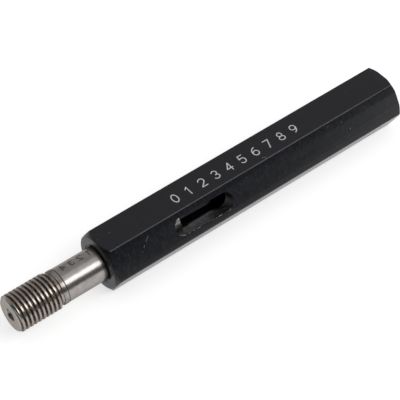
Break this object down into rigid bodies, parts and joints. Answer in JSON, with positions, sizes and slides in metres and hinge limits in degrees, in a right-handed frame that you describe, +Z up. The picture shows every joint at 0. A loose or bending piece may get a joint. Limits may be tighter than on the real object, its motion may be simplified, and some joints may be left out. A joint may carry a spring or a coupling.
{
  "type": "thread plug gauge",
  "caption": "Thread plug gauge: a steel plug with a fine right-hand thread, held by its taper shank in a black hexagon handle with a drift slot.",
  "frame": {"origin": "under the middle of the whole length, on the plane that the bottom hexagon flat rests on", "axes": "+X along the gauge's axis from the threaded tip towards the handle's back, +Z up, with the bottom hexagon flat on Z = 0"},
  "size_m": [0.0716, 0.0104, 0.009],
  "materials": {
    "black_oxide_steel": "black oxide over a drawn and lightly blasted steel hexagon, satin, with small pale nicks",
    "ground_steel": "hardened tool steel, ground, bright on the crests and neck, darker in the thread grooves"
  },
  "bodies": {
    "root": {"handle": "black_oxide_steel", "gauge_insert": "ground_steel"}
  },
  "joints": []
}
